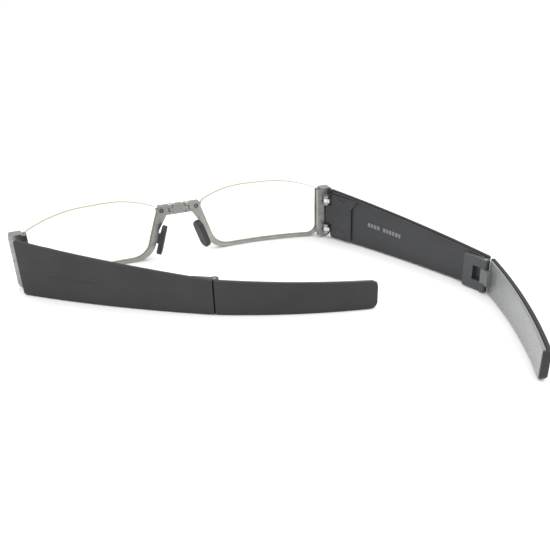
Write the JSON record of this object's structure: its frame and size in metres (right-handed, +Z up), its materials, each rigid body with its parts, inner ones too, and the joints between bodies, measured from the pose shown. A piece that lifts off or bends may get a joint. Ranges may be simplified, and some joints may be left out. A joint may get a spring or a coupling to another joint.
{
  "type": "folding reading glasses",
  "caption": "Half-rim folding reading glasses with a hinged bridge, wide flat side arms and arm tips that fold, set down half folded.",
  "frame": {"origin": "centre of the resting footprint box, at table height", "axes": "the front faces -Y, the arms run towards +Y, +X is the wearer's left, +Z is up"},
  "size_m": [0.1632, 0.1372, 0.0275],
  "materials": {
    "brushed_metal": "fine brushed, warm silver",
    "pin_steel": "plain polished steel",
    "lens_clear": "clear with a faint yellow-green cast",
    "pad_rubber": "smooth matte",
    "dark_cover": "soft-touch charcoal",
    "inner_grey": "satin dark grey"
  },
  "bodies": {
    "left_front": {"left_rim": "brushed_metal", "left_lens": "lens_clear", "left_end_piece": "brushed_metal", "left_nose_pad": "pad_rubber", "left_pad_mount": "brushed_metal", "left_hinge_pins": "pin_steel"},
    "bridge": {"bridge_link": "brushed_metal", "bridge_screws": "pin_steel"},
    "right_front": {"right_rim": "brushed_metal", "right_lens": "lens_clear", "right_end_piece": "brushed_metal", "right_nose_pad": "pad_rubber", "right_pad_mount": "brushed_metal", "right_hinge_pins": "pin_steel"},
    "left_arm": {"left_arm_cover": "dark_cover", "left_arm_liner": "inner_grey", "left_hinge_leaf": "pin_steel", "left_hinge_plate": "dark_cover", "left_hinge_screws": "pin_steel", "left_tip_fork": "dark_cover", "left_tip_pin": "pin_steel"},
    "left_tip": {"left_tip_cover": "dark_cover", "left_tip_liner": "inner_grey", "left_tip_tongue": "dark_cover"},
    "right_arm": {"right_arm_cover": "dark_cover", "right_arm_liner": "inner_grey", "right_hinge_leaf": "pin_steel", "right_hinge_plate": "dark_cover", "right_hinge_screws": "pin_steel", "right_tip_fork": "dark_cover", "right_tip_pin": "pin_steel"},
    "right_tip": {"right_tip_cover": "dark_cover", "right_tip_liner": "inner_grey", "right_tip_tongue": "dark_cover"}
  },
  "joints": [
    {"name": "bridge_left_fold", "type": "hinge", "parent": "left_front", "child": "bridge", "pos_m": [0.01832, -0.06668, 0.01], "axis": [0, 0, 1], "range_deg": [0, 90]},
    {"name": "bridge_right_fold", "type": "hinge", "parent": "bridge", "child": "right_front", "pos_m": [0.01152, -0.06668, 0.01], "axis": [0, 0, 1], "range_deg": [0, 90]},
    {"name": "left_arm_fold", "type": "hinge", "parent": "left_front", "child": "left_arm", "pos_m": [0.07834, -0.05688, 0.01], "axis": [0, 0, 1], "range_deg": [-51, 22]},
    {"name": "right_arm_fold", "type": "hinge", "parent": "right_front", "child": "right_arm", "pos_m": [-0.0485, -0.05688, 0.01], "axis": [0, 0, -1], "range_deg": [-2, 28]},
    {"name": "left_tip_open", "type": "hinge", "parent": "left_arm", "child": "left_tip", "pos_m": [0.0156, -0.0115, 0.01], "axis": [0, 0, -1], "range_deg": [-75, 4]},
    {"name": "right_tip_open", "type": "hinge", "parent": "right_arm", "child": "right_tip", "pos_m": [-0.0786, 0.01446, 0.01], "axis": [0, 0, 1], "range_deg": [-68, 32]}
  ]
}
